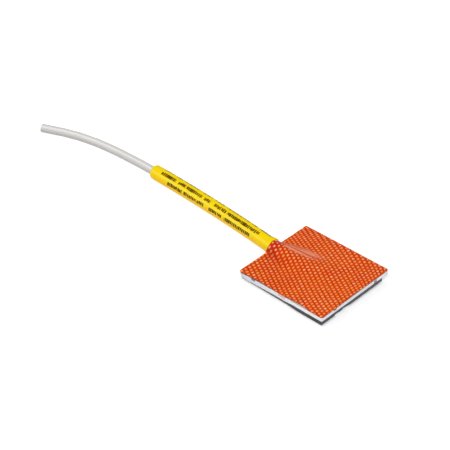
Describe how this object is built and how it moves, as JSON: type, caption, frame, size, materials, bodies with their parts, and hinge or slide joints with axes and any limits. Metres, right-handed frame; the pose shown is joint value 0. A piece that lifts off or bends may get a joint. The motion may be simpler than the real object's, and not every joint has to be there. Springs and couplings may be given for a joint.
{
  "type": "surface temperature sensor",
  "caption": "Flexible stick-on temperature sensor: a square woven silicone patch with a hooded lead entry, a sleeved lead and a short free cable.",
  "frame": {"origin": "middle of the patch's underside, which lies on the surface that it measures", "axes": "+Z out of that surface, the lead leaves towards -X, +Y across the patch"},
  "size_m": [0.1049, 0.0254, 0.0047],
  "materials": {
    "woven_silicone": "glossy silicone over an open glass weave",
    "white_foam": "matt",
    "dark_rubber": "matt, knife cut",
    "filling": "satin",
    "yellow_sleeve": "satin",
    "lining": "waxy",
    "jacket": "satin, slightly milky",
    "white_core": "satin",
    "red_core": "satin",
    "tinned_wire": "bright tinned",
    "splice": "plated",
    "chip_wire": "bright drawn",
    "chip_ceramic": "fired, unglazed",
    "platinum": "bright film",
    "chip_glass": "fused glass",
    "bead_glass": "fused glass"
  },
  "bodies": {
    "root": {"cover_sheet": "woven_silicone", "foam_pad": "white_foam", "base_sheet": "dark_rubber", "hood_filling": "filling", "shrink_sleeve": "yellow_sleeve", "sleeve_lining": "lining", "jacket_end": "jacket", "free_cable": "jacket", "insulation_1": "white_core", "insulation_2": "red_core", "insulation_3": "red_core", "conductor_1": "tinned_wire", "conductor_2": "tinned_wire", "conductor_3": "tinned_wire", "splice_single": "splice", "splice_double": "splice", "chip_wire_1": "chip_wire", "chip_wire_2": "chip_wire", "sensing_chip": "chip_ceramic", "platinum_track": "platinum", "chip_glass": "chip_glass", "wire_bead": "bead_glass"}
  },
  "joints": []
}
